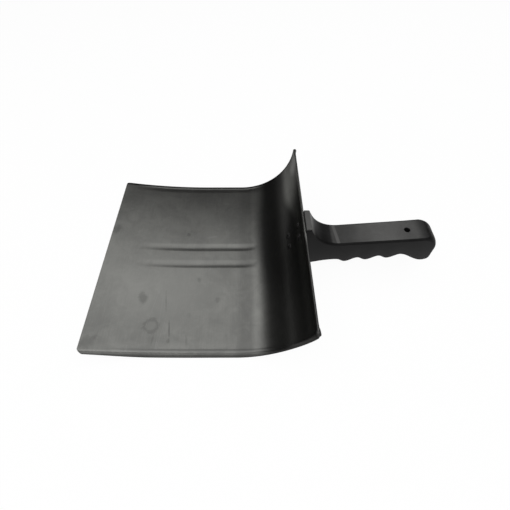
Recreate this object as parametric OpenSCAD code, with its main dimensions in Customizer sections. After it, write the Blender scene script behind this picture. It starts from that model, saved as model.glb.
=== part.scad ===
// Scoop-shaped mortar hawk: a pressed steel pan with an upturned back wall
// and a finger-grooved plastic handle screwed to the back of that wall.
// Lengths are in millimetres, angles in degrees.

/* [Pan] */
// Width of the pan over its rolled side rims
pan_width = 240; // [200:1:280]
// Thickness of the steel sheet
sheet = 1.2; // [0.8:0.1:1.5]
// Length of the level floor in front of the bend
flat_length = 46.5; // [40:0.5:70]
// Length of the rising front of the floor
front_length = 115; // [90:1:140]
// Height that the front lip rises above the level floor
front_rise = 10; // [4:0.5:16]
// Inside radius of the bend that turns the floor up into the back wall
bend_radius = 65.5; // [62:0.5:72]

/* [Pan edges] */
// Outside radius of the rolled side rims
rim_radius = 6; // [4:0.5:8]
// Straight lip below the roll of a side rim
rim_lip = 1.5; // [1:0.5:4]
// Depth of the side rims behind the sheet at the top of the wall
wall_rim = 2; // [1.5:0.1:3]
// Distance in front of the bend at which the rims start to fade towards that depth
wall_fade = 1; // [0.5:0.5:5]
// Radius of the curve on which they fade
wall_fade_radius = 80; // [77:0.5:81]
// Depth of the side rims below the floor at the front edge
front_rim = 3; // [2.5:0.5:4]
// Distance from the front edge at which the rims start to fade towards that depth
front_fade = 65; // [40:1:85]
// Radius of the top corners of the wall
wall_corner = 8; // [4:0.5:10]
// Depth of the folded hem along the top of the wall
hem_depth = 6; // [4:0.5:9]
// Distance from a side rim's roll to the end of the hem
hem_inset = 3; // [3:0.5:10]
// Radius of the front corners of the floor
front_corner = 8; // [4:0.5:14]

/* [Stiffening beads] */
// Distance between the two beads pressed into the floor
bead_spacing = 24; // [18:1:60]
// Width of a bead at the floor
bead_width = 7; // [5:0.5:8]
// Depth of a bead
bead_depth = 1.4; // [0.8:0.1:2]
// Length over which a bead fades out on the rising front
bead_fade = 74; // [40:1:85]
// Length over which a bead fades out in the bend
bead_run_out = 16; // [12:1:25]

/* [Handle] */
// Width of the handle at the wall
root_width = 28; // [24:0.5:34]
// Width of the handle at the butt
butt_width = 25; // [22:0.5:30]
// Distance from the back of the wall to the butt end
handle_reach = 147.5; // [142:0.5:170]
// Height of the shoulder above the top of the wall
shoulder_rise = 3.5; // [0:0.1:4.5]
// Height over which the shoulder rounds off into the sweep
shoulder_blend = 9; // [5:0.5:11]
// Radius of the sweep from the shoulder down to the grip
sweep_radius = 33; // [28:0.5:38]
// Distance from the back of the wall to the centre of that sweep
sweep_offset = 38.5; // [36:0.5:44]
// Height of the grip's top above the floor, below the centre of the sweep
grip_top = 44.2; // [40:0.2:48]
// Rise of the grip's top for each millimetre along the handle
grip_slope = 0.104; // [0.05:0.01:0.16]
// Radius of the grip's top edges
top_edge = 3.5; // [2:0.5:5]
// Radius of the grip's bottom edges
bottom_edge = 4; // [3:0.5:7]
// Radius of the butt's corners in plan
butt_corner = 3.5; // [3:0.5:9]
// Radius of the butt's top corner in side view
butt_top_radius = 13.5; // [12:0.5:20]
// Radius of the butt's bottom corner in side view
butt_bottom_radius = 9.5; // [3:0.5:11]
// Lean of the butt's end face for each millimetre of its height
butt_lean = 0.32; // [0.1:0.02:0.38]

/* [Finger grooves] */
// Distance from the back of the wall to the first finger groove
first_groove = 43.5; // [40:0.5:50]
// Distance between neighbouring finger grooves
groove_pitch = 23.2; // [20:0.2:25]
// Height of the first groove above the floor
groove_height = 10.8; // [9:0.2:14]
// Rise of the grooves for each millimetre along the handle
groove_slope = 0.16; // [0.1:0.01:0.2]
// Depth of the grooves below the ridges between them
groove_depth = 6; // [3:0.2:7]
// Height of the pommel's lowest point above the floor
pommel_height = 9.4; // [7:0.2:15]
// Height of the heel's lowest point above the floor
heel_height = 1; // [0:0.5:5]
// Radius of the heel under the wall
heel_radius = 12; // [9:0.5:14]
// Distance that the heel's centre lies in front of the top of the wall
heel_setback = 3; // [0:0.5:6]

/* [Handle inside] */
// Thickness of the sides and the top round the moulding core
core_wall = 2.6; // [2.5:0.1:4]
// Thickness of the underside below the moulding core
core_floor = 4.2; // [3:0.1:6]
// Distance from the core's end to the hanging hole
core_stop = 8; // [6:0.5:25]
// Radius of the hanging hole
hang_hole_radius = 2.6; // [2:0.1:3.5]
// Distance from the butt end to the hanging hole
hang_hole_setback = 34.5; // [30:0.5:40]
// Clearance between the handle and the back of the wall
seat_clearance = 0.15; // [0.1:0.05:0.3]

/* [Screws] */
// Radius of a screw's shank
screw_radius = 2; // [1.5:0.1:2.5]
// Length of a screw's shank behind the wall's inner face
screw_length = 17; // [14:0.5:19]
// Radius of a screw's low domed head
screw_head_radius = 3.6; // [3:0.2:5]
// Height of a screw's head
screw_head_height = 1.2; // [0.8:0.1:2.2]
// Radius of the moulded boss round a screw
screw_boss_radius = 4.6; // [4:0.1:5.5]
// Distance between the two screws of a row
screw_spacing = 15; // [12:0.5:18]
// Angle on the bend of the lower row of screws
lower_screw_angle = 58; // [56:0.5:62]
// Angle on the bend of the upper row of screws
upper_screw_angle = 76; // [72:0.5:78]
// Room between a screw's tip and the end of its hole
screw_end_room = 1; // [0.5:0.1:1.5]
// Radius of a screw's blunt tip
screw_tip_radius = 0.3; // [0.2:0.1:1]
// Clearance between a screw and its hole
screw_clearance = 0.1; // [0.05:0.05:0.2]

/* [Hidden] */
$fa = 1;
$fs = 0.4;
eps = 0.01;
far = 400;

// The drawing frame has x = 0 where the bend starts and z = 0 on the floor's upper face.
roll_line = pan_width / 2 - rim_radius;
rim_depth = rim_radius + rim_lip;
front_radius = round(50 * (front_length * front_length + front_rise * front_rise) / front_rise) / 100;
front_angle = asin((front_length + sheet) / front_radius);
front_end = -flat_length - front_length;
wall_back = bend_radius + 2 * sheet;

// The rims fade on a circle from a point below the floor to a point behind the top of the wall.
wall_rim_depth = sheet + wall_rim;
wall_half = roll_line + sqrt(wall_rim_depth * (2 * rim_radius - wall_rim_depth));
fade_run = bend_radius + wall_rim_depth + wall_fade;
fade_climb = bend_radius + rim_depth;
fade_chord = sqrt(fade_run * fade_run + fade_climb * fade_climb);
fade_sag = sqrt(wall_fade_radius * wall_fade_radius - fade_chord * fade_chord / 4);
fade_x = -wall_fade + fade_run / 2 - fade_sag * fade_climb / fade_chord;
fade_z = -rim_depth + fade_climb / 2 + fade_sag * fade_run / fade_chord;

// A bead is part of a round bar whose axis lies above the floor and rises from it at both ends.
bead_radius = (bead_width * bead_width / 4 + bead_depth * bead_depth) / (2 * bead_depth);
bead_axis = bead_radius - bead_depth;
bead_front_radius = leaving_radius(bead_fade, front_radius);
bead_back_radius = leaving_radius(bead_run_out, bend_radius);

// Side view of the handle.
butt_end = wall_back + handle_reach;
shoulder_top = bend_radius + shoulder_rise;
sweep_x = wall_back + sweep_offset;
sweep_z = grip_top + sweep_radius;
sweep_end = sweep_x + sweep_radius * sin(atan(grip_slope));
sweep_end_z = sweep_z - sweep_radius * cos(atan(grip_slope));
groove_count = 4;
groove_x = wall_back + first_groove;
last_groove_x = groove_x + (groove_count - 1) * groove_pitch;
last_groove_z = groove_height + groove_slope * (last_groove_x - groove_x);
pommel_x = butt_end - butt_bottom_radius;
heel_x = bend_radius - heel_setback;
root_start = heel_x - heel_radius;
hang_hole_x = butt_end - hang_hole_setback;
core_end = hang_hole_x - hang_hole_radius - core_stop;

// Points round a corner of a section, and sections along the handle, closer where the outline turns fast.
corner_points = 6;
least_flat = 0.4;
heel_steps = 10;
sweep_steps = 26;
grip_steps = 50;
butt_steps = 10;
butt_start = butt_end - butt_top_radius;
stations = concat(
    [for (i = [0 : heel_steps - 1]) heel_x - heel_radius * cos(90 * i / heel_steps)],
    [for (i = [0 : sweep_steps - 1]) heel_x + (sweep_x - heel_x) * i / sweep_steps],
    [for (i = [0 : grip_steps - 1]) sweep_x + (butt_start - sweep_x) * i / grip_steps],
    [for (i = [0 : butt_steps]) butt_start + butt_top_radius * sin(90 * i / butt_steps)]
);

// The whole part is moved so that its origin is the middle of its base.
handle_end = max([for (x = stations) each [for (p = section(x)) p[0]]]);
to_base = [-(front_end + handle_end) / 2, 0, rim_depth];

// Across the pan: floor sheet, two rolled rims and their lips, at a distance from the turning axis.
module pan_section(axis_distance) {
    translate([axis_distance, -roll_line])
        square([sheet, 2 * roll_line]);
    for (side = [0, 1])
        mirror([0, side])
            translate([axis_distance + rim_radius, roll_line])
                rim_section();
}

module rim_section() {
    intersection() {
        difference() {
            circle(rim_radius);
            circle(rim_radius - sheet);
        }
        translate([-rim_radius, 0])
            square(rim_radius);
    }
    translate([0, rim_radius - sheet])
        square([rim_lip, sheet]);
}

// Turns a section up from straight down, about an axis across the pan at a height.
module turned_up(axis_z, angle) {
    translate([0, 0, axis_z])
        rotate([90, 0, 0])
            rotate([0, 0, -90])
                rotate_extrude(angle = angle)
                    children();
}

// Turns a section up towards the front, from the front end of the level floor.
module turned_forward(axis_z, angle) {
    translate([-flat_length, 0, 0])
        mirror([1, 0, 0])
            turned_up(axis_z, angle)
                children();
}

module along_flat() {
    translate([-flat_length, 0, 0])
        rotate([0, 90, 0])
            linear_extrude(flat_length)
                children();
}

module bent_sheet() {
    turned_forward(front_radius, front_angle)
        pan_section(front_radius);
    along_flat()
        pan_section(0);
    turned_up(bend_radius, 90)
        pan_section(bend_radius);
}

// The top of the wall is folded back on itself, with a round edge.
module top_hem() {
    half_width = roll_line - hem_inset;
    hem_angle = hem_depth / bend_radius * 180 / PI;
    translate([0, 0, bend_radius])
        rotate([-90, 0, 0])
            rotate_extrude(angle = hem_angle)
                translate([bend_radius + sheet / 2, -half_width])
                    square([1.5 * sheet, 2 * half_width]);
    translate([bend_radius + sheet, half_width, bend_radius])
        rotate([90, 0, 0])
            linear_extrude(2 * half_width)
                half_disc(sheet);
}

module half_disc(radius) {
    intersection() {
        circle(radius);
        translate([-radius, 0])
            square([2 * radius, radius]);
    }
}

// Turning radius of a bar that starts as deep as a bead and leaves a curved floor after a run.
function leaving_radius(run, floor_radius) =
    let (rise = floor_radius - sqrt(floor_radius * floor_radius - run * run) + bead_depth)
    round(50 * (run * run + rise * rise) / rise) / 100 - bead_depth;

// A bar that follows the level floor and leaves it on a curve of its own at each end.
module bead_bar(radius) {
    translate([-flat_length, 0, bead_axis])
        rotate([0, 90, 0])
            cylinder(h = flat_length, r = radius);
    turned_forward(bead_front_radius, asin((bead_fade + bead_radius) / bead_front_radius))
        translate([bead_front_radius - bead_axis, 0])
            circle(radius);
    turned_up(bead_back_radius, asin((bead_run_out + bead_radius) / bead_back_radius))
        translate([bead_back_radius - bead_axis, 0])
            circle(radius);
}

// Rib below the floor that keeps the sheet's thickness under a bead.
module bead_rib() {
    reach = bead_radius + 2 * sheet;
    difference() {
        bead_bar(bead_radius + sheet);
        translate([-flat_length, -reach, -sheet / 2])
            cube([flat_length, 2 * reach, far]);
        translate([-flat_length, reach, 0])
            above_curve(front_radius, 2 * reach, -far);
        translate([0, reach, 0])
            above_curve(bend_radius, 2 * reach, 0);
    }
}

// Space above the middle of a curved sheet, on one side of the place where its curve starts.
module above_curve(radius, width, side) {
    rotate([90, 0, 0])
        linear_extrude(width)
            intersection() {
                translate([0, radius])
                    circle(radius + sheet / 2);
                translate([side, -far])
                    square([far, 2 * far]);
            }
}

// Outside of the front corners, seen from above.
module front_corner_waste() {
    for (side = [0, 1])
        mirror([0, side, 0])
            translate([front_end, pan_width / 2, -far / 2])
                linear_extrude(far)
                    difference() {
                        translate([-front_corner, -front_corner])
                            square([2 * front_corner, 2 * front_corner]);
                        translate([front_corner, -front_corner])
                            circle(front_corner);
                    }
    translate([front_end - far, -far / 2, -far / 2])
        cube(far);
}

// Side view stretched across the whole pan.
module across_pan() {
    translate([0, pan_width, 0])
        rotate([90, 0, 0])
            linear_extrude(2 * pan_width)
                children();
}

// The side rims grow shallow towards the front edge.
module front_rim_waste() {
    start = front_end + front_fade;
    outside = front_radius + rim_depth;
    start_z = front_radius - sqrt(outside * outside - pow(start + flat_length, 2));
    end_z = front_rise - front_rim;
    across_pan()
        polygon([
            [start + front_fade, 2 * start_z - end_z],
            [start - 2 * front_fade, 2 * end_z - start_z],
            [start - 2 * front_fade, -far],
            [start + front_fade, -far]
        ]);
}

// The side rims grow shallow towards the top of the wall, where only the hem keeps its depth.
module wall_rim_waste() {
    inner = roll_line - hem_inset / 2;
    difference() {
        across_pan()
            difference() {
                translate([-2 * wall_fade, -far])
                    square(2 * far);
                translate([fade_x, fade_z])
                    circle(wall_fade_radius);
                translate([-far, bend_radius])
                    square([far + bend_radius, far]);
            }
        translate([-far, -inner, -far])
            cube([2 * far, 2 * inner, 2 * far]);
    }
}

// Outside of the wall's top corners, seen from behind.
module wall_corner_waste() {
    for (side = [0, 1])
        mirror([0, side, 0])
            translate([bend_radius / 2, wall_half, bend_radius])
                rotate([90, 0, 90])
                    linear_extrude(far)
                        difference() {
                            translate([-wall_corner, -wall_corner])
                                square([rim_radius + wall_corner, 2 * wall_corner]);
                            translate([-wall_corner, -wall_corner])
                                circle(wall_corner);
                        }
}

// Places children on a screw's axis: z points out of the wall's inner face into the pan.
module at_screws() {
    for (angle = [lower_screw_angle, upper_screw_angle])
        for (side = [-1, 1])
            translate([0, side * screw_spacing / 2, bend_radius])
                rotate([0, 180 - angle, 0])
                    translate([0, 0, bend_radius])
                        rotate([180, 0, 0])
                            children();
}

module pan() {
    color([0.32, 0.32, 0.30])
        translate(to_base)
            difference() {
                union() {
                    bent_sheet();
                    top_hem();
                    for (side = [-1, 1])
                        translate([0, side * bead_spacing / 2, 0])
                            bead_rib();
                }
                for (side = [-1, 1])
                    translate([0, side * bead_spacing / 2, 0])
                        bead_bar(bead_radius);
                front_corner_waste();
                front_rim_waste();
                wall_rim_waste();
                wall_corner_waste();
                at_screws()
                    translate([0, 0, -2 * sheet])
                        cylinder(h = 3 * sheet, r = screw_radius + screw_clearance);
            }
}

// Smaller of two heights, with the corner between them rounded off.
function blended_min(a, b, blend) =
    min(a, b) - pow(max(blend - abs(a - b), 0), 2) / (4 * blend);

// Drop of a round corner at a distance along the handle.
function corner_drop(x, radius) =
    x <= butt_end - radius ? 0 : radius - sqrt(max(radius * radius - pow(x - butt_end + radius, 2), 0));

// Half of a cosine wave from one height to another.
function eased(from, to, share) = from + (to - from) * (1 - cos(180 * share)) / 2;

function sweep_height(x) =
    x <= sweep_x - sweep_radius ? shoulder_top + far :
    x < sweep_end ? sweep_z - sqrt(sweep_radius * sweep_radius - pow(x - sweep_x, 2)) :
    sweep_end_z + grip_slope * (x - sweep_end);

function grip_upper(x) =
    blended_min(shoulder_top, sweep_height(x), shoulder_blend) - corner_drop(x, butt_top_radius);

function groove_wave(x) =
    groove_height + groove_slope * (x - groove_x)
    - groove_depth * (1 - cos(360 * (x - groove_x) / groove_pitch)) / 2;

function grip_lower(x) =
    x < heel_x ? heel_height + heel_radius - sqrt(max(heel_radius * heel_radius - pow(x - heel_x, 2), 0)) :
    x < groove_x ? eased(heel_height, groove_height, (x - heel_x) / (groove_x - heel_x)) :
    x < last_groove_x ? groove_wave(x) :
    x < pommel_x ? eased(last_groove_z, pommel_height, (x - last_groove_x) / (pommel_x - last_groove_x)) :
    pommel_height + corner_drop(x, butt_bottom_radius);

function grip_half_width(x) =
    (root_width + (butt_width - root_width) * (x - root_start) / (butt_end - root_start)) / 2
    - corner_drop(x, butt_corner);

// One quarter-round corner of a section, as points from one angle to the next.
function section_corner(y, z, radius, from) = [
    for (i = [0 : corner_points - 1])
        let (angle = from + 90 * i / (corner_points - 1))
            [y + radius * cos(angle), z + radius * sin(angle)]
];

// Sections lean over behind the last groove, as far as the end face of the butt.
function lean(x) = butt_lean * min(max((x - last_groove_x) / (butt_start - last_groove_x), 0), 1);

function section(x) =
    let (
        upper = grip_upper(x),
        lower = grip_lower(x),
        middle = (upper + lower) / 2,
        half = grip_half_width(x),
        most = min(half, (upper - lower) / 2) - least_flat,
        r1 = min(top_edge, most),
        r2 = min(bottom_edge, most)
    )
    [
        for (p = concat(
            section_corner(half - r2, lower + r2, r2, -90),
            section_corner(half - r1, upper - r1, r1, 0),
            section_corner(r1 - half, upper - r1, r1, 90),
            section_corner(r2 - half, lower + r2, r2, 180)
        ))
            [x + lean(x) * (middle - p[1]), p[0], p[1]]
    ];

// Skin stretched over the sections, closed at both ends.
module grip_loft() {
    ring = 4 * corner_points;
    rings = len(stations);
    last = (rings - 1) * ring;
    points = [for (x = stations) each section(x)];
    sides = [
        for (i = [0 : rings - 2])
            for (j = [0 : ring - 1])
                let (
                    a = i * ring + j,
                    b = i * ring + (j + 1) % ring
                )
                each [[a, b, b + ring], [a, b + ring, a + ring]]
    ];
    root_cap = [for (j = [0 : ring - 1]) ring - 1 - j];
    butt_cap = [for (j = [0 : ring - 1]) last + j];
    polyhedron(points = points, faces = concat(sides, [root_cap, butt_cap]));
}

// Room for the wall and its hem, which the root of the handle is saddled on.
module wall_room() {
    radius = bend_radius + sheet + seat_clearance;
    hem_bottom = bend_radius - hem_depth - 2 * seat_clearance;
    translate([0, far / 2, bend_radius])
        rotate([90, 0, 0])
            cylinder(h = far, r = radius);
    intersection() {
        translate([0, far / 2, bend_radius])
            rotate([90, 0, 0])
                cylinder(h = far, r = radius + sheet);
        translate([0, -far / 2, hem_bottom])
            cube(far);
    }
}

// Hollow left by the moulding core, drawn out of the root, with bosses for the lower screws.
module core_hollow() {
    width = butt_width - 2 * core_wall;
    floor_at_groove = groove_height + core_floor;
    roof_at_sweep = grip_top - core_wall;
    difference() {
        translate([0, width / 2, 0])
            rotate([90, 0, 0])
                linear_extrude(width)
                    polygon([
                        for (x = [root_start, core_end])
                            [x, floor_at_groove + groove_slope * (x - groove_x)],
                        for (x = [core_end, root_start])
                            [x, roof_at_sweep + grip_slope * (x - sweep_x)]
                    ]);
        at_screws()
            translate([0, 0, -screw_length - screw_end_room - core_wall])
                cylinder(h = screw_length, r = screw_boss_radius);
    }
}

module hanging_hole() {
    translate([hang_hole_x, 0, sweep_end_z])
        rotate([0, -atan(grip_slope), 0])
            translate([0, 0, -far / 2])
                cylinder(h = far, r = hang_hole_radius);
}

module handle() {
    color([0.10, 0.10, 0.10])
        translate(to_base)
            difference() {
                grip_loft();
                wall_room();
                core_hollow();
                hanging_hole();
                at_screws()
                    translate([0, 0, -screw_length - screw_end_room])
                        cylinder(h = screw_length, r = screw_radius + screw_clearance);
            }
}

// A screw lies along z with the seat of its head at z = 0 and its tip below.
module screw() {
    tip = 2 * screw_radius;
    dome_radius = (screw_head_radius * screw_head_radius + screw_head_height * screw_head_height)
        / (2 * screw_head_height);
    rotate_extrude() {
        polygon([
            [0, 0],
            [0, -screw_length],
            [screw_tip_radius, -screw_length],
            [screw_radius, tip - screw_length],
            [screw_radius, 0]
        ]);
        intersection() {
            translate([0, screw_head_height - dome_radius])
                circle(dome_radius);
            square(screw_head_radius + screw_head_height);
        }
    }
}

// The flat head bridges the hollow of the wall's inner face.
module fixing_screws() {
    seat = bend_radius - sqrt(pow(bend_radius, 2) - pow(screw_head_radius, 2));
    color([0.25, 0.25, 0.26])
        translate(to_base)
            at_screws()
                translate([0, 0, seat + eps])
                    screw();
}

pan();
handle();
fixing_screws();
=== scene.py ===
import math
import bpy
import bmesh
from mathutils import Matrix, Vector, noise


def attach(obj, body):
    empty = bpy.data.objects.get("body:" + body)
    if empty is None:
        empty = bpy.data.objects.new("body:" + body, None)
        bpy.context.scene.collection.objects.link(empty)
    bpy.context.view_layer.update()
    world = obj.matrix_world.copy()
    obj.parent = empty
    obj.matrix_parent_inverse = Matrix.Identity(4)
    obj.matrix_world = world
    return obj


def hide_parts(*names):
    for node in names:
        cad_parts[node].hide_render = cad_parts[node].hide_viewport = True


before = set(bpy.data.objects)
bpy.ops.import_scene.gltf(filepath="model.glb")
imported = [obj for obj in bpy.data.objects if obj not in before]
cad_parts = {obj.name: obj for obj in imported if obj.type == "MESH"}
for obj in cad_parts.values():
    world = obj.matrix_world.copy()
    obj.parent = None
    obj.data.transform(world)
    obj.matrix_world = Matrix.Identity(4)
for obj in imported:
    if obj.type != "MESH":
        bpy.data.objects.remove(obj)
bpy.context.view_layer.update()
print("frame loaded with", ", ".join(sorted(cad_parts)))

milli = 0.001  # sizes below are in millimetres
quarter = math.pi / 2
drawnAt = Vector((-29.063, 0, 7.5))  # from the start of the bend to the middle of the base


class Wire:  # a socket that can stand in a sum
    def __init__(self, finish, socket):
        self.finish = finish
        self.socket = socket

    def sum(self, operation, *terms):
        return self.finish.node("ShaderNodeMath", {"operation": operation}, dict(enumerate(terms)))

    def __add__(self, other):
        return self.sum("ADD", self, other)

    def __radd__(self, other):
        return self.sum("ADD", other, self)

    def __sub__(self, other):
        return self.sum("SUBTRACT", self, other)

    def __rsub__(self, other):
        return self.sum("SUBTRACT", other, self)

    def __mul__(self, other):
        return self.sum("MULTIPLY", self, other)

    def __rmul__(self, other):
        return self.sum("MULTIPLY", other, self)

    def __truediv__(self, other):
        return self.sum("DIVIDE", self, other)

    def __rtruediv__(self, other):
        return self.sum("DIVIDE", other, self)

    def __abs__(self):
        return self.sum("ABSOLUTE", self)

    def least(self, other):
        return self.sum("MINIMUM", self, other)

    def most(self, other):
        return self.sum("MAXIMUM", self, other)

    def swing(self, amount):  # a cloud's swing about its middle
        return (self - 0.5) * amount

    def rising(self, low, high):  # 0 below low, 1 above high, smooth between
        return self.finish.node(
            "ShaderNodeMapRange", {"interpolation_type": "SMOOTHSTEP"},
            {"Value": self, "From Min": low, "From Max": high})


class Finish:  # a material made of nodes round one shader
    def __init__(self, name):
        self.material = bpy.data.materials.new(name)
        self.material.use_nodes = True
        self.tree = self.material.node_tree
        self.tree.nodes.clear()
        self.shader = self.tree.nodes.new("ShaderNodeBsdfPrincipled")
        self.output = self.tree.nodes.new("ShaderNodeOutputMaterial")
        self.tree.links.new(self.shader.outputs[0], self.output.inputs["Surface"])
        self.place = self.node("ShaderNodeTexCoord", out="Object")

    def feed(self, socket, value):
        if isinstance(value, Wire):
            self.tree.links.new(value.socket, socket)
        else:
            socket.default_value = value

    def node(self, kind, settings=None, inputs=None, out=0):
        made = self.tree.nodes.new(kind)
        for name, value in (settings or {}).items():
            setattr(made, name, value)
        for name, value in (inputs or {}).items():
            self.feed(made.inputs[name], value)
        return Wire(self, made.outputs[out])

    def set(self, **sockets):
        for name, value in sockets.items():
            self.feed(self.shader.inputs[name.replace("_", " ")], value)

    def stretched(self, x, y, z, turn=0.0):  # the piece's own place, turned about z and stretched
        turned = self.node(
            "ShaderNodeMapping", {"vector_type": "POINT"},
            {"Vector": self.place, "Rotation": (0, 0, math.radians(turn))})
        return self.node("ShaderNodeVectorMath", {"operation": "MULTIPLY"}, {0: turned, 1: (x, y, z)})

    def cloud(self, where, scale, detail, rough=0.5, warp=0.0):
        return self.node(
            "ShaderNodeTexNoise", {},
            {"Vector": where, "Scale": scale, "Detail": detail, "Roughness": rough, "Distortion": warp})

    def blend(self, share, first, second):
        return self.node(
            "ShaderNodeMix", {"data_type": "RGBA"}, {0: share, 6: first, 7: second}, out=2)

    def bump(self, height, strength, distance):
        return self.node(
            "ShaderNodeBump", {}, {"Height": height, "Strength": strength, "Distance": distance},
            out="Normal")

    def away(self, x, y, wide, long, turn):  # 0 in the middle of a mark, 1 at its edge
        near = self.node(
            "ShaderNodeMapping", {"vector_type": "TEXTURE"},
            {"Vector": self.place, "Location": ((x + drawnAt.x) * milli, y * milli, 0),
             "Rotation": (0, 0, math.radians(turn)), "Scale": (wide * milli, long * milli, 1)})
        return self.node("ShaderNodeVectorMath", {"operation": "LENGTH"}, {0: near}, out="Value")

    def axis(self, name):
        return self.node("ShaderNodeSeparateXYZ", {}, {0: self.place}, out=name)


def grey(value, warm=0.0, green=0.0):
    return (value * (1 + warm), value * (1 + green), value * (1 - warm), 1)


steelLook = dict(
    # painted light and shade tones are here too: the floor's pale patch, the wall tip's pale patch, the dark
    # bend and rims, the darker edges and the darkest rim back
    dark=grey(0.105, 0.022, 0.025), light=grey(0.14, 0.026, 0.03), litPatchTone=grey(0.18, 0.026, 0.03),
    paintedHighlight=grey(0.3, 0.02, 0.02), hairTone=grey(0.2, 0.01, 0.01), speckTone=grey(0.06, 0.01),
    soil=grey(0.035, 0.02, 0.01), edge=grey(0.06, 0.01), paintedShadeTone=grey(0.028, 0.01),
    rimDark=grey(0.006, 0.01), glint=grey(0.3), metal=0.94,
    rough=0.31, roughBroad=0.04, roughGrain=0.03, roughSoil=0.08, roughLip=0.2,
    dents=0.6, hairDents=0.5, bump=(0.06, 0.0004),
    broad=(14, 2, 0.5, 0.4), patch=(55, 4, 0.6, 0.8), fine=(260, 4, 0.65, 0.6),  # size, detail, roughness, warp
    brushed=(900, 45, 900), grain=(1, 4, 0.6), speck=(900, 2, 0.6), speckRange=(0.62, 0.78), speckShare=0.2,
    toneParts=(0.4, 0.35, 0.1, 0.15), toneRange=(0.36, 0.64),
    hairs=((4, 0.012, 0.60), (-37, 0.010, 0.66), (63, 0.010, 0.68)),  # turn, width, sparseness
    hairRun=(70, 7, 70), gateRun=(38, 11, 38), gateSoft=0.06, hairShare=0.3,
    raggedFine=0.9, raggedPatch=0.6, soilShare=0.55, markEdge=(0.35, 1.05),
    marks=((-108.5, -57, 6, 9, 20, 0.55), (-67, 31.4, 3, 3.5, 0, 0.45),  # x, y, width, length, turn, share
           (-48.4, -33.4, 3, 4, 15, 0.4), (-24.9, -58.7, 4.5, 4, 40, 0.35),
           (-55.7, -77, 5, 3, 70, 0.2), (-74.8, -93, 1.4, 14, 8, 0.7),
           (-82.6, -61, 1.0, 15, 8, 0.4), (-74.3, -104.5, 2.4, 3.4, 0, 0.45),
           (-154.7, -107, 13, 8, 25, 0.45), (-157.7, 36, 7, 10, 0, 0.4),
           (-90.7, -104, 1.2, 7, -6, 0.35), (-55.7, -104, 1.5, 8, 5, 0.3)),
    ring=(-94.4, -89, 8.5, 8.5, 0), ringRagged=1.1, ringAt=0.75, ringEdge=(0.0, 0.42), ringShare=0.45,
    # the tip and floor patches below are painted light
    tip=(64.6, 96, 2.4, 15, 0), tipRagged=1.2, tipEdge=(0.2, 1.15), tipShare=0.6,
    paintedLightPatch=(-86, -42, 80, 62, 0), litPatchEdge=(0.15, 1.1), litPatchShare=0.42,
    # the lip, rim, fold, crest, stripe and bend shares below are painted shade
    lip=(118.3, 119.6), lipShare=0.5, farRim=(111.5, 114.5), farBack=(115.0, 116.6), farBackShare=0.9,
    wallRim=(113.5, 117), wallRimRun=(-16, 4), fold=(72.2, 73.2), foldEnd=(-32, -14), rimShadeShare=0.8,
    crest=(112.4, 113.8), crestEnd=(115.2, 116.8), crestRun=(-165, -75), crestShare=0.4,
    stripe=(-7, 4), stripeEnd=(11, 17), stripeShare=0.22,
    hollowAt=25, hollowSpread=(10, 80), hollowDip=2.4, hollowRise=(2.5, 10), hollowRun=(-28, -6),
    hollowFar=(15, 70), hollowDrop=15, hollowTop=(40, 52),
    hollowShare=0.52, hollowAcross=(-100, -10), hollowGain=0.28)


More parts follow.
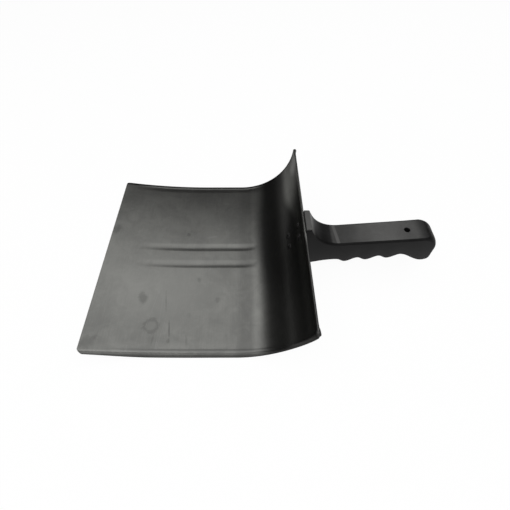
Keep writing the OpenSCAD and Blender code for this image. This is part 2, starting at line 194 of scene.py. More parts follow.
def panFinish():
    look = steelLook
    f = Finish("panSteel")
    broad, patch, fine = (f.cloud(f.place, *look[name]) for name in ("broad", "patch", "fine"))
    grain = f.cloud(f.stretched(*look["brushed"]), *look["grain"])
    speck = f.cloud(f.place, *look["speck"]).rising(*look["speckRange"])
    hairs = 0.0
    for turn, width, sparse in look["hairs"]:
        edge = f.node(
            "ShaderNodeTexVoronoi", {"feature": "DISTANCE_TO_EDGE"},
            {"Vector": f.stretched(*look["hairRun"], turn), "Scale": 1, "Randomness": 1})
        gate = f.cloud(f.stretched(*look["gateRun"], turn), 1, 1).rising(sparse, sparse + look["gateSoft"])
        hairs = (1 - edge.rising(0, width)) * gate + hairs
    ragged = fine.swing(look["raggedFine"]) + patch.swing(look["raggedPatch"])
    soiled = 0.0
    for *where, share in look["marks"]:  # smudges, spots and scuffed lines
        soiled = (1 - (f.away(*where) + ragged).rising(*look["markEdge"])) * share + soiled
    ringed = abs(f.away(*look["ring"]) + ragged * look["ringRagged"] - look["ringAt"])
    soiled = (1 - ringed.rising(*look["ringEdge"])) * look["ringShare"] + soiled
    # painted reflection: a pale patch mirroring a light on the far top corner of the wall
    tip = (1 - (f.away(*look["tip"]) + ragged * look["tipRagged"]).rising(*look["tipEdge"])) * look["tipShare"]
    # painted light: a pale pool of light on the near part of the floor
    paintedLightPatch = (1 - f.away(*look["paintedLightPatch"]).rising(*look["litPatchEdge"])) * look["litPatchShare"]

    x, y, z = (f.axis(name) / milli for name in "XYZ")
    near, behind, height = 0 - y, x - drawnAt.x, z - drawnAt.z
    lip = abs(y).rising(*look["lip"])  # painted shade: the turned-down lips are darkened
    # painted shade: the back of the far rim is made darkest
    farBack = y.rising(*look["farBack"])
    # painted shade on the near rim beside the wall
    wallRim = near.rising(*look["wallRim"]) * x.rising(*look["wallRimRun"])
    # painted shade on the near part of the top fold
    fold = z.rising(*look["fold"]) * (1 - y.rising(*look["foldEnd"]))
    # painted shade on the far rim, the near rim by the wall and the top fold
    paintedRimShade = y.rising(*look["farRim"]).most(wallRim).most(fold)
    # painted shade: a dark line where the near rim starts to roll
    crest = near.rising(*look["crest"]) * (1 - near.rising(*look["crestEnd"])) * x.rising(*look["crestRun"])
    stripe = behind.rising(*look["stripe"]) * (1 - behind.rising(*look["stripeEnd"]))  # painted shade in a band before the bend
    # painted shade over the wall of the bend
    middle = 1 - abs(y - look["hollowAt"]).rising(*look["hollowSpread"])
    paintedBendShade = (height + middle * look["hollowDip"]).rising(*look["hollowRise"]) * x.rising(*look["hollowRun"])
    lowered = height + y.rising(*look["hollowFar"]) * look["hollowDrop"]
    paintedBendShade = paintedBendShade * (1 - lowered.rising(*look["hollowTop"]))  # painted shade on the bend, fading out near the top
    paintedBendShade = paintedBendShade * (look["hollowShare"] + y.rising(*look["hollowAcross"]) * look["hollowGain"])

    b, p, n, g = look["toneParts"]
    tone = (broad * b + patch * p + fine * n + grain * g).rising(*look["toneRange"])
    steel = f.blend(tone, look["dark"], look["light"])
    # the floor and tip patches are painted light and the stripe, bend, rims, crest and lips are painted shade;
    # the rest is the steel's own tone, hairlines, specks and dirt
    for share, colour in (
            (paintedLightPatch, "litPatchTone"), (stripe * look["stripeShare"], "paintedShadeTone"),
            (hairs * look["hairShare"], "hairTone"), (speck * look["speckShare"], "speckTone"),
            (soiled.least(1.0) * look["soilShare"], "soil"), (paintedBendShade, "paintedShadeTone"), (tip, "paintedHighlight"),
            (paintedRimShade * look["rimShadeShare"], "paintedShadeTone"), (crest * look["crestShare"], "edge"),
            (farBack * look["farBackShare"], "rimDark"), (lip * look["lipShare"], "edge")):
        steel = f.blend(share, steel, look[colour])
    rough = look["rough"] + broad.swing(look["roughBroad"]) + grain.swing(look["roughGrain"])
    rough = rough + soiled * look["roughSoil"] + lip * look["roughLip"]
    f.set(Base_Color=steel, Roughness=rough, Metallic=look["metal"], Specular_Tint=look["glint"])
    f.set(Normal=f.bump(patch * look["dents"] - hairs * look["hairDents"], *look["bump"]))
    return f.material


plasticLook = dict(
    # the pale top tone is partly dust and partly painted light
    dark=grey(0.006), light=grey(0.009), toneRange=(0.35, 0.7), dustAndSheen=grey(0.095, 0.015, 0.012),
    rough=0.42, roughPatch=0.16, roughSkin=0.10, shine=0.06,
    skin=(1500, 3, 0.6), patch=(48, 4, 0.6, 0.5),  # size, detail, roughness, warp
    scuffRun=(260, 900, 900, 8), scuff=(1, 2, 0.6), scuffRange=(0.60, 0.76),
    # the top's pale tone rises and falls along the length as painted light
    filmRoot=0.42, filmRun=((112, 152, 0.56), (160, 176, -0.22), (186, 199, -0.66)),  # from, to, change
    filmLeast=0.72, filmSwing=0.28, filmPatch=0.7, filmScuff=0.3, filmRange=(0.2, 0.6),
    # the band across the top near the sweep is a painted highlight
    topFacing=(0.968, 0.992), highlightAt=105.3, highlightSlant=0.12, highlightEdge=(0.8, 3.4), highlightShare=0.75,
    shoulderEnd=(75, 80), shoulderSide=(0.3, 0.7), shoulderFilm=0.6, shoulderPatch=0.3,
    skinDents=0.7, patchDents=0.3, bump=(0.16, 0.00025))


def handleFinish():
    look = plasticLook
    f = Finish("handlePlastic")
    skin, patch = (f.cloud(f.place, *look[name]) for name in ("skin", "patch"))
    scuff = f.cloud(f.stretched(*look["scuffRun"]), *look["scuff"]).rising(*look["scuffRange"])
    turned = f.node("ShaderNodeNewGeometry", out="True Normal")
    facing = f.node("ShaderNodeSeparateXYZ", {}, {0: turned}, out="Z")
    sideways = abs(f.node("ShaderNodeSeparateXYZ", {}, {0: turned}, out="Y"))
    along = f.axis("X") / milli - drawnAt.x
    slant = along + f.axis("Y") / milli * look["highlightSlant"]
    dustAndSheen = look["filmRoot"]
    for first, last, change in look["filmRun"]:
        dustAndSheen = along.rising(first, last) * change + dustAndSheen
    mottled = (patch * look["filmPatch"] + scuff * look["filmScuff"]).rising(*look["filmRange"])
    dustAndSheen = dustAndSheen * (look["filmLeast"] + mottled * look["filmSwing"])
    # painted highlight: a pale band across the top where the sweep begins
    paintedHighlight = 1 - abs(slant - look["highlightAt"]).rising(*look["highlightEdge"])
    dustAndSheen = dustAndSheen.most(paintedHighlight * look["highlightShare"]) * facing.rising(*look["topFacing"])  # pale film on the top: dust, with painted light and a painted highlight
    # a paler patch on the shoulder face, partly dust and partly painted light
    shoulder = (1 - along.rising(*look["shoulderEnd"])) * (1 - sideways.rising(*look["shoulderSide"]))
    dustAndSheen = dustAndSheen.most(shoulder * (look["shoulderFilm"] + patch * look["shoulderPatch"]))
    black = f.blend(patch.rising(*look["toneRange"]), look["dark"], look["light"])
    black = f.blend(dustAndSheen, black, look["dustAndSheen"])
    rough = look["rough"] + patch.swing(look["roughPatch"]) + skin.swing(look["roughSkin"])
    f.set(Base_Color=black, Roughness=rough, Metallic=0.0, Specular_IOR_Level=look["shine"])
    f.set(Normal=f.bump(skin * look["skinDents"] + patch * look["patchDents"], *look["bump"]))
    return f.material


screwLook = dict(
    dark=grey(0.025), light=grey(0.045, 0.01), toneRange=(0.35, 0.7), patch=(500, 3, 0.6),
    rough=0.55, roughPatch=0.2, bump=(0.1, 0.0002))


def screwFinish():
    look = screwLook
    f = Finish("screwSteel")
    patch = f.cloud(f.place, *look["patch"])
    steel = f.blend(patch.rising(*look["toneRange"]), look["dark"], look["light"])
    f.set(Base_Color=steel, Roughness=look["rough"] + patch.swing(look["roughPatch"]), Metallic=1.0)
    f.set(Normal=f.bump(patch, *look["bump"]))
    return f.material


def addPiece(name, points, faces, material=None, sharpOver=30):
    mesh = bpy.data.meshes.new(name)
    mesh.from_pydata([(Vector(p) + drawnAt) * milli for p in points], [], faces)
    built = bmesh.new()
    built.from_mesh(mesh)
    bmesh.ops.recalc_face_normals(built, faces=built.faces)
    built.to_mesh(mesh)
    built.free()
    piece = bpy.data.objects.new(name, mesh)
    bpy.context.collection.objects.link(piece)
    mesh.materials.append(material)
    smoothPiece(piece, sharpOver)
    return piece


def smoothPiece(piece, sharpOver):
    for face in piece.data.polygons:
        face.use_smooth = True
    piece.data.set_sharp_from_angle(angle=math.radians(sharpOver))


def cutAway(piece, cutters, sharpOver):
    for cutter in cutters:
        cut = piece.modifiers.new("cut", "BOOLEAN")
        cut.operation = "DIFFERENCE"
        cut.solver = "EXACT"
        cut.object = cutter
    bpy.context.view_layer.update()
    shaped = piece.evaluated_get(bpy.context.evaluated_depsgraph_get())
    mesh = bpy.data.meshes.new_from_object(shaped)
    piece.modifiers.clear()
    old = piece.data
    piece.data = mesh
    bpy.data.meshes.remove(old)
    mesh.name = piece.name
    for cutter in cutters:
        spare = cutter.data
        bpy.data.objects.remove(cutter)
        bpy.data.meshes.remove(spare)
    smoothPiece(piece, sharpOver)


def takePlace(piece, node):
    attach(piece, "root")
    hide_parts(node)
    print(piece.name, "made with", len(piece.data.polygons), "faces")


def steps(first, last, count):
    return [first + (last - first) * i / count for i in range(count)]


def tubeFaces(rings, n, first=0):  # quads round a row of rings of n points
    faces = []
    for i in range(rings - 1):
        for j in range(n):
            a, b = first + i * n + j, first + i * n + (j + 1) % n
            faces.append((a, b, b + n, a + n))
    return faces


def closedTube(rings, n):
    return tubeFaces(rings, n) + [tuple(reversed(range(n))), tuple(range((rings - 1) * n, rings * n))]


pan = dict(
    width=240, sheet=1.2, flat=46.5, frontRun=115, frontRise=10, bend=65.5,
    roll=6, lip=1.5, wallRim=2, wallFade=1, wallFadeRadius=80, frontRim=3, frontFade=65, fadeOver=20,
    wallCorner=8, frontCorner=8, edgeRound=0.35, sharpOver=50,
    hemDrop=6, hemInset=3, hemEnd=119.2, hemGap=0.06, hemSwell=1.3, swellAt=117, swellHalf=6,
    beadApart=24, beadHalf=6.0, beadDepth=0.5, beadTaper=0.15, beadFade=82, beadRunFrom=-2, beadRunOut=22,
    creaseFrom=105, creaseLow=112.4, creaseEnd=114.6, creaseDepth=0.42,
    creaseFront=12, creaseFrontRun=35, creaseTop=60, creaseTopRun=50,
    wave=0.10, waveEnd=108, waveAlong=42, waveAcross=50, waveSeed=3.1,
    rimStart=100, rimShare=0.8, rimColumns=18, rollColumns=14, trimTries=40,
    beadMargin=6.5, middleColumns=3, beadColumns=28, floorColumns=22,
    cornerRows=12, frontRows=48, flatRows=22, bendRows=60, edgeSteps=4,
    foldRows=14, hemRows=6, hemColumns=26, hemEndColumns=18)

rollLine = pan["width"] / 2 - pan["roll"]
rimDepth = pan["roll"] + pan["lip"]
frontRadius = (pan["frontRun"] ** 2 + pan["frontRise"] ** 2) / (2 * pan["frontRise"])
frontEnd = -pan["flat"] - pan["frontRun"]
frontArc = frontRadius * math.asin(pan["frontRun"] / frontRadius)
wallArc = pan["bend"] * math.pi / 2
wallDepth = pan["sheet"] + pan["wallRim"]
wallHalf = rollLine + math.sqrt(wallDepth * (2 * pan["roll"] - wallDepth))
fadeRun = pan["bend"] + wallDepth + pan["wallFade"]
fadeClimb = pan["bend"] + rimDepth
fadeChord = math.hypot(fadeRun, fadeClimb)
fadeSag = math.sqrt(pan["wallFadeRadius"] ** 2 - fadeChord ** 2 / 4)
fadeX = -pan["wallFade"] + fadeRun / 2 - fadeSag * fadeClimb / fadeChord
fadeZ = -rimDepth + fadeClimb / 2 + fadeSag * fadeRun / fadeChord
fadeStart = frontEnd + pan["frontFade"]
fadeStartZ = frontRadius - math.sqrt((frontRadius + rimDepth) ** 2 - (fadeStart + pan["flat"]) ** 2)
fadeEndZ = pan["frontRise"] - pan["frontRim"]


def alongPan(s):  # place and upward direction at a length from the start of the bend
    if s > 0:
        turn = s / pan["bend"]
        return (pan["bend"] * math.sin(turn), pan["bend"] * (1 - math.cos(turn)),
                -math.sin(turn), math.cos(turn))
    ahead = -pan["flat"] - s
    if ahead > 0:
        turn = ahead / frontRadius
        return (-pan["flat"] - frontRadius * math.sin(turn), frontRadius * (1 - math.cos(turn)),
                math.sin(turn), math.cos(turn))
    return s, 0, 0, 1


def acrossPan(t, inset):  # sideways place and drop at a length from the middle
    side, t, r = math.copysign(1, t), abs(t), pan["roll"]
    if t <= rollLine:
        return side * t, inset
    turn = (t - rollLine) / r
    if turn <= quarter:
        return side * (rollLine + (r - inset) * math.sin(turn)), r - (r - inset) * math.cos(turn)
    return side * (rollLine + r - inset), t - rollLine - r * math.pi / 2 + r


def beadDent(s, t):  # fades out on the rising front and in the bend
    ahead, behind = max(-pan["flat"] - s, 0), max(s - pan["beadRunFrom"], 0)
    left = 1 - (ahead / pan["beadFade"]) ** 2 - (behind / pan["beadRunOut"]) ** 2
    if left <= 0:
        return 0
    half = pan["beadHalf"] * (1 - pan["beadTaper"] + pan["beadTaper"] * math.sqrt(left))
    share = ((abs(t) - pan["beadApart"] / 2) / half) ** 2
    return pan["beadDepth"] * left * (1 - share) ** 2 if share < 1 else 0


def creaseDent(s, t):  # step left by the press beside the rolled rim
    inner, outer = abs(t) - pan["creaseFrom"], pan["creaseEnd"] - abs(t)
    if inner <= 0 or outer <= 0:
        return 0
    low = pan["creaseLow"]
    share = min(inner / (low - pan["creaseFrom"]), outer / (pan["creaseEnd"] - low))
    front = (s + pan["flat"] + frontArc - pan["creaseFront"]) / pan["creaseFrontRun"]
    top = (pan["creaseTop"] - s) / pan["creaseTopRun"]
    calm = min(1, max(0, front), max(0, top))
    return pan["creaseDepth"] * calm * share ** 2 * (3 - 2 * share)


def sheetWave(s, t):  # the pressing is not quite true
    calm = max(0, 1 - (abs(t) / pan["waveEnd"]) ** 6)
    where = Vector((s / pan["waveAlong"], t / pan["waveAcross"], pan["waveSeed"]))
    return pan["wave"] * calm * noise.noise(where)


def panPoint(s, t, inset):
    x, z, upX, upZ = alongPan(s)
    y, drop = acrossPan(t, inset)
    drop += beadDent(s, t) + creaseDent(s, t) + sheetWave(s, t)
    return Vector((x - upX * drop, y, z - upZ * drop))


def insidePan(p):  # false where the rim fades out or a corner is rounded
    x, y, z = p.x, abs(p.y), p.z
    if x < fadeStart + pan["fadeOver"]:
        slope = (fadeStartZ - fadeEndZ) / (fadeStart - frontEnd)
        if z < fadeEndZ + slope * (x - frontEnd):
            return False
    if y > rollLine - pan["hemInset"] / 2 and x > -2 * pan["wallFade"]:
        if math.hypot(x - fadeX, z - fadeZ) > pan["wallFadeRadius"]:
            return False
    c = pan["frontCorner"]
    if x < frontEnd + c and y > pan["width"] / 2 - c:
        if math.hypot(x - frontEnd - c, y - pan["width"] / 2 + c) > c:
            return False
    c = pan["wallCorner"]
    if x > pan["bend"] / 2 and z > pan["bend"] - c and y > wallHalf - c:
        if math.hypot(z - pan["bend"] + c, y - wallHalf + c) > c:
            return False
    return True


def rimReach(s):  # how far the sheet goes across before it is trimmed
    low, high = pan["rimStart"], rollLine + pan["roll"] * math.pi / 2 + pan["lip"]
    if insidePan(panPoint(s, high, 0)):
        return high - pan["edgeRound"]
    for _ in range(pan["trimTries"]):
        middle = (low + high) / 2
        if insidePan(panPoint(s, middle, 0)):
            low = middle
        else:
            high = middle
    return low - pan["edgeRound"]


def panColumns(reach):
    start = pan["rimStart"]
    first = pan["beadApart"] / 2 - pan["beadMargin"]
    last = pan["beadApart"] / 2 + pan["beadMargin"]
    middle = min(rollLine, start + pan["rimShare"] * (reach - start))
    half = steps(0, first, pan["middleColumns"]) + steps(first, last, pan["beadColumns"])
    half += steps(last, start, pan["floorColumns"]) + steps(start, middle, pan["rimColumns"])
    half += steps(middle, reach, pan["rollColumns"]) + [reach]
    return [-t for t in reversed(half[1:])] + half


def panStations():
    n, c = pan["cornerRows"], pan["frontCorner"]
    front = -pan["flat"] - frontArc + pan["edgeRound"] + pan["sheet"] * pan["frontRun"] / frontRadius
    run = [front + c * (1 - math.cos(quarter * i / n)) for i in range(n)]
    run += steps(front + c, -pan["flat"], pan["frontRows"]) + steps(-pan["flat"], 0, pan["flatRows"])
    c = pan["wallCorner"]
    top = wallArc - pan["edgeRound"] / 2
    run += steps(0, top - c, pan["bendRows"])
    return run + [top - c + c * math.sin(quarter * i / n) for i in range(n + 1)]


def edgePoints(upper, lower, outward):  # round edge of the sheet between its two faces
    found = []
    for i in range(1, pan["edgeSteps"]):
        turn = math.pi * i / pan["edgeSteps"]
        found.append(upper + (lower - upper) * (1 - math.cos(turn)) / 2
                     + outward * pan["edgeRound"] * math.sin(turn))
    return found


def panSheet(points, faces):
    stations = panStations()
    columns = [panColumns(rimReach(s)) for s in stations]
    rows, wide = len(stations), len(columns[0])
    for inset in (0, pan["sheet"]):
        points += [panPoint(s, t, inset) for s, line in zip(stations, columns) for t in line]
    under = rows * wide
    for i in range(rows - 1):
        for j in range(wide - 1):
            a = i * wide + j
            quad = (a, a + 1, a + wide + 1, a + wide)
            faces.append(quad)
            faces.append(tuple(under + k for k in reversed(quad)))
    loop = list(range(wide - 1)) + [i * wide + wide - 1 for i in range(rows - 1)]  # once round the sheet
    loop += [(rows - 1) * wide + j for j in range(wide - 1, 0, -1)]
    loop += [i * wide for i in range(rows - 1, 0, -1)]
    rings = []
    for k, here in enumerate(loop):
        along = points[loop[(k + 1) % len(loop)]] - points[loop[k - 1]]
        up = points[here] - points[under + here]
        outward = up.cross(along).normalized()
        first = len(points)
        points += edgePoints(points[here], points[under + here], outward)
        rings.append([here] + list(range(first, len(points))) + [under + here])
    for k, ring in enumerate(rings):
        after = rings[(k + 1) % len(rings)]
        for i in range(len(ring) - 1):
            faces.append((ring[i], after[i], after[i + 1], ring[i + 1]))


def hemOutline():  # distance behind the wall's face and drop below its top
    sheet, drop, rows = pan["sheet"], pan["hemDrop"], pan["hemRows"]
    outer, inner = 2 * sheet, sheet + pan["hemGap"]
    side = []
    for i in range(pan["foldRows"] + 1):
        turn = math.pi * i / pan["foldRows"]
        side.append((sheet - sheet * math.cos(turn), -sheet * math.sin(turn)))
    side += [(outer, drop * i / rows) for i in range(1, rows + 1)]
    middle, half = (outer + inner) / 2, (outer - inner) / 2
    for i in range(1, rows):  # rounded lower edge of the fold
        turn = math.pi * i / rows
        side.append((middle + half * math.cos(turn), drop + pan["edgeRound"] * math.sin(turn)))
    return side + [(inner, drop * i / rows) for i in range(rows, -1, -1)]


def hemPoint(t, behind, drop):  # follows the rolled rim and the round corner of the wall
    y, back = acrossPan(t, 0)
    roll = max(0, abs(t) - rollLine) / pan["roll"]
    c = pan["wallCorner"]
    over = max(0, abs(y) - wallHalf + c)
    angle = (drop + c - math.sqrt(max(c ** 2 - over ** 2, 0))) / pan["bend"]
    near = max(0, 1 - ((abs(t) - pan["swellAt"]) / pan["swellHalf"]) ** 2)
    swell = pan["hemSwell"] * near * behind / (2 * pan["sheet"])  # the fold's ends are thicker
    reach = pan["bend"] + back + behind * math.cos(roll) + swell
    return Vector((reach * math.cos(angle), y - math.copysign(behind * math.sin(roll), y),
                   pan["bend"] - reach * math.sin(angle)))


def topHem(points, faces):  # the wall's top edge, folded back on itself
    side = hemOutline()
    end, corner = pan["hemEnd"], wallHalf - pan["wallCorner"]
    half = steps(0, corner, pan["hemColumns"]) + steps(corner, end, pan["hemEndColumns"]) + [end]
    lines = [-t for t in reversed(half[1:])] + half
    first, n = len(points), len(side)
    for t in lines:
        points += [hemPoint(t, behind, drop) for behind, drop in side]
    faces += tubeFaces(len(lines), n, first)
    faces.append(tuple(first + j for j in range(n)))
    faces.append(tuple(first + (len(lines) - 1) * n + j for j in reversed(range(n))))


def makePan():
    points, faces = [], []
    panSheet(points, faces)
    topHem(points, faces)
    takePlace(addPiece("panSheet", points, faces, panFinish(), pan["sharpOver"]), "pan")


grip = dict(
    rootWidth=28, buttWidth=28.4, reach=148, shoulderRise=3.5, shoulderBlend=9,
    sweepRadius=33, sweepOffset=38.5, top=44.2, slope=0.104, topEdge=2.6, bottomEdge=4,
    buttCorner=3.4, buttTop=16.5, buttBottom=10, buttLean=0.2, buttRound=5.5,
    firstGroove=43.5, groovePitch=23.2, grooveHeight=11.6, grooveSlope=0.16, grooveDepth=6, grooves=4,
    pommel=10.6, heel=1, heelRadius=12, heelBack=3, leastFlat=0.4, sharpOver=40,
    holeRadius=2.6, holeBack=35.01, holeDeep=60, holeSides=40,
    holeMouth=((0, -0.9), (0.05, -0.55), (0.2, -0.25),  # wider by, above the top
               (0.42, -0.06), (0.75, 0.06), (2, 1)),
    seatGap=0.15, roomMargin=20, roomHalf=40, roomTurn=88, roomFold=8, roomSteps=80, farAbove=400,
    cornerPoints=9, heelRows=14, rootRows=44, gripRows=96, buttRows=18, endRings=(0.66, 0.33))

wallBack = pan["bend"] + 2 * pan["sheet"]
buttEnd = wallBack + grip["reach"]
shoulderTop = pan["bend"] + grip["shoulderRise"]
sweepX = wallBack + grip["sweepOffset"]
sweepZ = grip["top"] + grip["sweepRadius"]
gripTurn = math.atan(grip["slope"])
sweepEnd = sweepX + grip["sweepRadius"] * math.sin(gripTurn)
sweepEndZ = sweepZ - grip["sweepRadius"] * math.cos(gripTurn)
grooveX = wallBack + grip["firstGroove"]
lastGrooveX = grooveX + (grip["grooves"] - 1) * grip["groovePitch"]
lastGrooveZ = grip["grooveHeight"] + grip["grooveSlope"] * (lastGrooveX - grooveX)
pommelX = buttEnd - grip["buttBottom"]
heelX = pan["bend"] - grip["heelBack"]
rootStart = heelX - grip["heelRadius"]
buttStart = buttEnd - grip["buttTop"]


def blendedMin(a, b, blend):
    return min(a, b) - max(blend - abs(a - b), 0) ** 2 / (4 * blend)


def cornerDrop(x, radius):  # how far a rounded corner of the butt draws in
    if x <= buttEnd - radius:
        return 0
    return radius - math.sqrt(max(radius ** 2 - (x - buttEnd + radius) ** 2, 0))


def eased(first, last, share):
    return first + (last - first) * (1 - math.cos(math.pi * share)) / 2


def shareOf(x, first, last):
    return min(max((x - first) / (last - first), 0), 1)


def sweepHeight(x):
    if x <= sweepX - grip["sweepRadius"]:
        return shoulderTop + grip["farAbove"]
    if x < sweepEnd:
        return sweepZ - math.sqrt(grip["sweepRadius"] ** 2 - (x - sweepX) ** 2)
    return sweepEndZ + grip["slope"] * (x - sweepEnd)


def gripUpper(x):
    top = blendedMin(shoulderTop, sweepHeight(x), grip["shoulderBlend"])
    return top - cornerDrop(x, grip["buttTop"])


def gripLower(x):
    if x < heelX:
        r = grip["heelRadius"]
        return grip["heel"] + r - math.sqrt(max(r ** 2 - (x - heelX) ** 2, 0))
    if x < grooveX:
        return eased(grip["heel"], grip["grooveHeight"], (x - heelX) / (grooveX - heelX))
    if x < lastGrooveX:
        wave = (1 - math.cos(2 * math.pi * (x - grooveX) / grip["groovePitch"])) / 2
        return grip["grooveHeight"] + grip["grooveSlope"] * (x - grooveX) - grip["grooveDepth"] * wave
    if x < pommelX:
        return eased(lastGrooveZ, grip["pommel"], (x - lastGrooveX) / (pommelX - lastGrooveX))
    return grip["pommel"] + cornerDrop(x, grip["buttBottom"])


def gripSection(x):
    upper, lower = gripUpper(x), gripLower(x)
    middle = (upper + lower) / 2
    share = (x - rootStart) / (buttEnd - rootStart)
    half = (grip["rootWidth"] + (grip["buttWidth"] - grip["rootWidth"]) * share) / 2
    half -= cornerDrop(x, grip["buttCorner"])
    most = min(half, (upper - lower) / 2) - grip["leastFlat"]
    softer = grip["buttRound"] * shareOf(x, buttStart, buttEnd)
    r1, r2 = min(grip["topEdge"] + softer, most), min(grip["bottomEdge"], most)
    lean = grip["buttLean"] * shareOf(x, lastGrooveX, buttStart)
    corners = ((half - r2, lower + r2, r2, -90), (half - r1, upper - r1, r1, 0),
               (r1 - half, upper - r1, r1, 90), (r2 - half, lower + r2, r2, 180))
    ring = []
    for y, z, radius, first in corners:
        for i in range(grip["cornerPoints"]):
            turn = math.radians(first + 90 * i / (grip["cornerPoints"] - 1))
            height = z + radius * math.sin(turn)
            ring.append(Vector((x + lean * (middle - height), y + radius * math.cos(turn), height)))
    return ring


def gripStations():
    n = grip["heelRows"]
    run = [heelX - grip["heelRadius"] * math.cos(quarter * i / n) for i in range(n)]
    run += steps(heelX, sweepX, grip["rootRows"]) + steps(sweepX, buttStart, grip["gripRows"])
    n = grip["buttRows"]
    return run + [buttStart + grip["buttTop"] * math.sin(quarter * i / n) for i in range(n + 1)]


def wallRoom():  # what the saddle of the root leaves for the wall and its fold
    top, margin, half = pan["bend"], grip["roomMargin"], grip["roomHalf"]
    r = pan["bend"] + pan["sheet"] + grip["seatGap"]
    outer = r + pan["sheet"]
    fold = math.asin((pan["hemDrop"] + 2 * grip["seatGap"]) / outer)
    inward, last = math.asin(outer * math.sin(fold) / r), math.radians(grip["roomTurn"])
    side = [(-margin, top + margin), (outer, top + margin)]
    for i in range(grip["roomFold"] + 1):
        turn = fold * i / grip["roomFold"]
        side.append((outer * math.cos(turn), top - outer * math.sin(turn)))
    for i in range(grip["roomSteps"] + 1):
        turn = inward + (last - inward) * i / grip["roomSteps"]
        side.append((r * math.cos(turn), top - r * math.sin(turn)))
    side.append((-margin, top - r))
    points = [Vector((x, y, z)) for y in (-half, half) for x, z in side]
    return addPiece("wallRoom", points, closedTube(2, len(side)))


def lathe(profile, count, place):
    turns = [2 * math.pi * k / count for k in range(count)]
    points = [place @ Vector((r * math.cos(turn), r * math.sin(turn), z)) for r, z in profile for turn in turns]
    return points, closedTube(len(profile), count)


def hangingHole():
    holeX, r = buttEnd - grip["holeBack"], grip["holeRadius"]
    top = grip["slope"] * (holeX - sweepEnd) * math.cos(gripTurn)
    profile = [(r, -grip["holeDeep"])] + [(r + wider, top + above) for wider, above in grip["holeMouth"]]
    place = Matrix.Translation((holeX, 0, sweepEndZ)) @ Matrix.Rotation(-gripTurn, 4, "Y")
    return addPiece("hangingHole", *lathe(profile, grip["holeSides"], place))


def makeHandle():
    rings = [gripSection(x) for x in gripStations()]
    points, n = [p for ring in rings for p in ring], len(rings[0])
    faces = tubeFaces(len(rings), n) + [tuple(reversed(range(n)))]
    last = (len(rings) - 1) * n
    middle = sum(rings[-1], Vector()) / n
    for share in grip["endRings"]:  # rings of the end face
        start = len(points)
        points += [middle + (p - middle) * share for p in rings[-1]]
        for j in range(n):
            k = (j + 1) % n
            faces.append((last + j, last + k, start + k, start + j))
        last = start
    faces.append(tuple(last + j for j in range(n)))
    handle = addPiece("handleGrip", points, faces, handleFinish(), grip["sharpOver"])
    cutAway(handle, [wallRoom(), hangingHole()], grip["sharpOver"])
    takePlace(handle, "handle")


screw = dict(
    radius=2, length=17, head=3.6, rise=1.2, tip=0.3, apart=15, angles=(58, 76), lift=0.01,
    rimInset=0.15, rimRise=0.12, domeInset=0.05, domeSteps=10, sides=32, sharpOver=35,
    slotWide=0.8, slotLong=3.6, slotDeep=0.8, slotOver=0.4, slotTaper=0.6)


def crossSlot(place):  # plain cross recess, narrower at its bottom
    wide, long, taper = screw["slotWide"] / 2, screw["slotLong"] / 2, screw["slotTaper"]
    deep, top = screw["rise"] - screw["slotDeep"], screw["rise"] + screw["slotOver"]
    outline = [(long, -wide), (long, wide), (wide, wide), (wide, long), (-wide, long), (-wide, wide),
               (-long, wide), (-long, -wide), (-wide, -wide), (-wide, -long), (wide, -long), (wide, -wide)]
    points = [place @ Vector((x * taper, y * taper, deep)) for x, y in outline]
    points += [place @ Vector((x, y, top)) for x, y in outline]
    return points, closedTube(2, len(outline))


def screwProfile():
    r, rise, shank = screw["head"], screw["rise"], screw["radius"]
    dome = (r ** 2 + rise ** 2) / (2 * rise)
    profile = [(screw["tip"], -screw["length"]), (shank, 2 * shank - screw["length"]), (shank, 0),
               (r - screw["rimInset"], 0), (r, screw["rimRise"])]
    for i in range(1, screw["domeSteps"]):
        reach = (r - screw["domeInset"]) * (1 - i / screw["domeSteps"])
        profile.append((reach, rise - dome + math.sqrt(dome ** 2 - reach ** 2)))
    return profile


def makeScrews():
    profile = screwProfile()
    seat = pan["bend"] - math.sqrt(pan["bend"] ** 2 - screw["head"] ** 2) + screw["lift"]
    points, faces, slots, slotFaces = [], [], [], []
    for angle in screw["angles"]:
        for side in (-1, 1):
            turn = math.radians(angle)
            x, z, upX, upZ = alongPan(pan["bend"] * turn)
            place = Matrix.Translation((x + upX * seat, side * screw["apart"] / 2, z + upZ * seat))
            place = place @ Matrix.Rotation(-turn, 4, "Y")
            place = place @ Matrix.Rotation(angle * side, 4, "Z")  # each slot stops at its own turn
            for made, gathered, joined in ((lathe(profile, screw["sides"], place), points, faces),
                                           (crossSlot(place), slots, slotFaces)):
                first = len(gathered)
                gathered += made[0]
                joined += [tuple(first + k for k in face) for face in made[1]]
    heads = addPiece("fixingScrews", points, faces, screwFinish(), screw["sharpOver"])
    cutAway(heads, [addPiece("crossSlots", slots, slotFaces)], screw["sharpOver"])
    takePlace(heads, "fixing_screws")


makePan()
makeHandle()
makeScrews()

studio = dict(
    floorSize=14, floorWhite=0.86, floorRough=0.9, floorShow=0.95, worldGrey=0.025,
    lamps=(  # name, place, size, glow, turn
        ("overheadLamp", (-0.15, -0.01, 1.3), (2.1, 2.0), 1.65, (0, 0, -9)),
        ("nearLamp", (-0.15, -0.62, 1.28), (1.8, 0.7), 0.9, (0, 0, -9)),
        ("sideLamp", (-0.81, 0.50, 1.25), (0.1, 0.8), 2.6, (0, 0, 0)),
        ("rearLamp", (0.92, 0.84, 1.05), (0.8, 0.8), 2.0, (50, 0, 132)),
        ("frontLamp", (-0.1, -1.7, 0.9), (2.6, 1.2), 1.3, (60, 0, 0))))


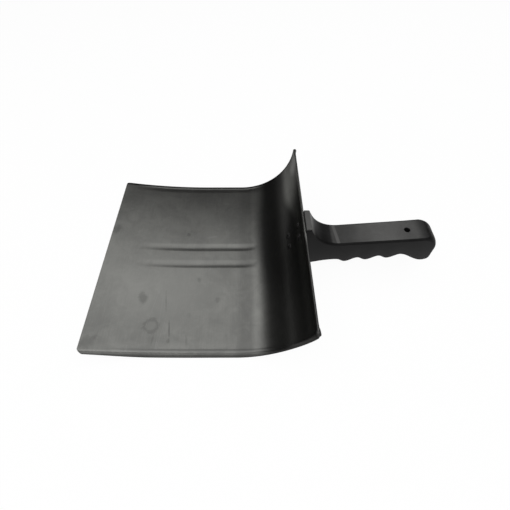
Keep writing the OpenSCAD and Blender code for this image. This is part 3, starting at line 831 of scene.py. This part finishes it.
def makeFloor():
    half = studio["floorSize"] / 2
    corners = [(-half, -half, 0), (half, -half, 0), (half, half, 0), (-half, half, 0)]
    mesh = bpy.data.meshes.new("studioFloor")
    mesh.from_pydata(corners, [], [(0, 1, 2, 3)])
    floor = bpy.data.objects.new("studioFloor", mesh)
    bpy.context.collection.objects.link(floor)
    f = Finish("studioFloor")
    f.set(Base_Color=grey(studio["floorWhite"]), Roughness=studio["floorRough"], Specular_IOR_Level=0.0)
    seen = f.node("ShaderNodeLightPath", out="Is Camera Ray")
    for kind in ("Is Glossy Ray", "Is Transmission Ray"):
        seen = seen.most(f.node("ShaderNodeLightPath", out=kind))
    white = f.node("ShaderNodeEmission", {}, {"Color": (1, 1, 1, 1), "Strength": 1.0})
    lit = Wire(f, f.shader.outputs[0])
    shown = f.node("ShaderNodeMixShader", {}, {0: seen * studio["floorShow"], 1: lit, 2: white})
    f.feed(f.output.inputs["Surface"], shown)
    mesh.materials.append(f.material)


def makeLight():
    world = bpy.data.worlds.new("studioRoom")
    world.use_nodes = True
    world.node_tree.nodes["Background"].inputs["Color"].default_value = grey(studio["worldGrey"])
    bpy.context.scene.world = world
    for name, place, size, glow, turn in studio["lamps"]:
        lamp = bpy.data.lights.new(name, "AREA")
        lamp.shape = "RECTANGLE"
        lamp.size, lamp.size_y = size
        lamp.energy = glow * math.pi * lamp.size * lamp.size_y  # glow is what a mirror would show
        holder = bpy.data.objects.new(name, lamp)
        holder.location = place
        holder.rotation_euler = [math.radians(a) for a in turn]
        bpy.context.collection.objects.link(holder)


view = dict(
    place=(-0.02025, -0.18420, 0.30171), right=(1, -0.0024, 0), up=(0.0021, 0.8569, 0.5155),
    lens=19.885, sensor=36, shift=(0.01333, 0.01118), clipStart=0.01)


def makeCamera():
    data = bpy.data.cameras.new("photoCamera")
    data.lens, data.sensor_width = view["lens"], view["sensor"]
    data.shift_x, data.shift_y = view["shift"]
    data.clip_start = view["clipStart"]
    camera = bpy.data.objects.new("photoCamera", data)
    right = Vector(view["right"]).normalized()
    back = right.cross(Vector(view["up"])).normalized()
    turned = Matrix((right, back.cross(right), back)).transposed().to_4x4()
    camera.matrix_world = Matrix.Translation(view["place"]) @ turned
    bpy.context.collection.objects.link(camera)
    bpy.context.scene.camera = camera


makeFloor()
makeLight()
makeCamera()
bpy.context.scene.view_settings.view_transform = "Standard"
print("floor, light and camera set")
